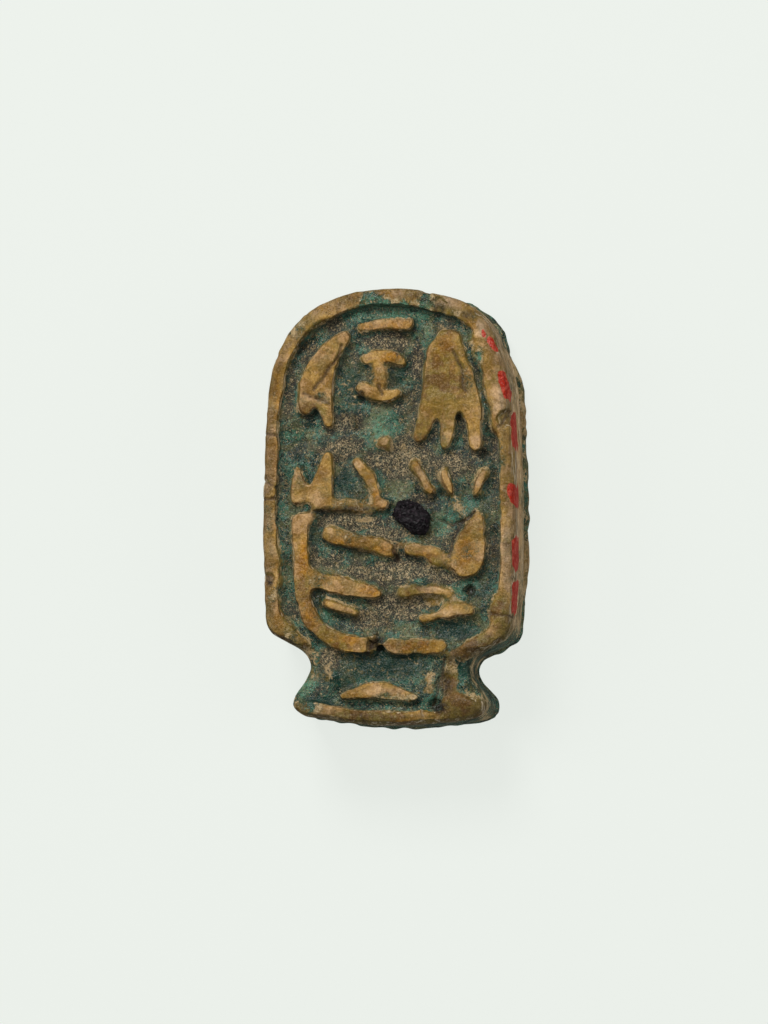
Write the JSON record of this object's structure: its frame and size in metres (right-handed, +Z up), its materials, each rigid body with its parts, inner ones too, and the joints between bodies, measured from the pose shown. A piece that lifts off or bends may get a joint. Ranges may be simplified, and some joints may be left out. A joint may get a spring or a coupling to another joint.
{
  "type": "cartouche plaque",
  "caption": "Small carved stone amulet plaque with an arched top, a sunk field of worn strokes inside a rim, a narrow neck and a flared foot, lying on its flat back.",
  "frame": {"origin": "middle of the plaque's bounding box, at the level of its flat back", "axes": "+Z up out of the carved face, +Y from the foot to the arched top, +X to the right of the carved face"},
  "size_m": [0.0098, 0.0168, 0.0046],
  "materials": {
    "glazed_steatite": "worn blue-green glaze in the hollows over pale brown carved stone, with dust and dark stains"
  },
  "bodies": {
    "root": {"cartouche_plaque": "glazed_steatite"}
  },
  "joints": []
}
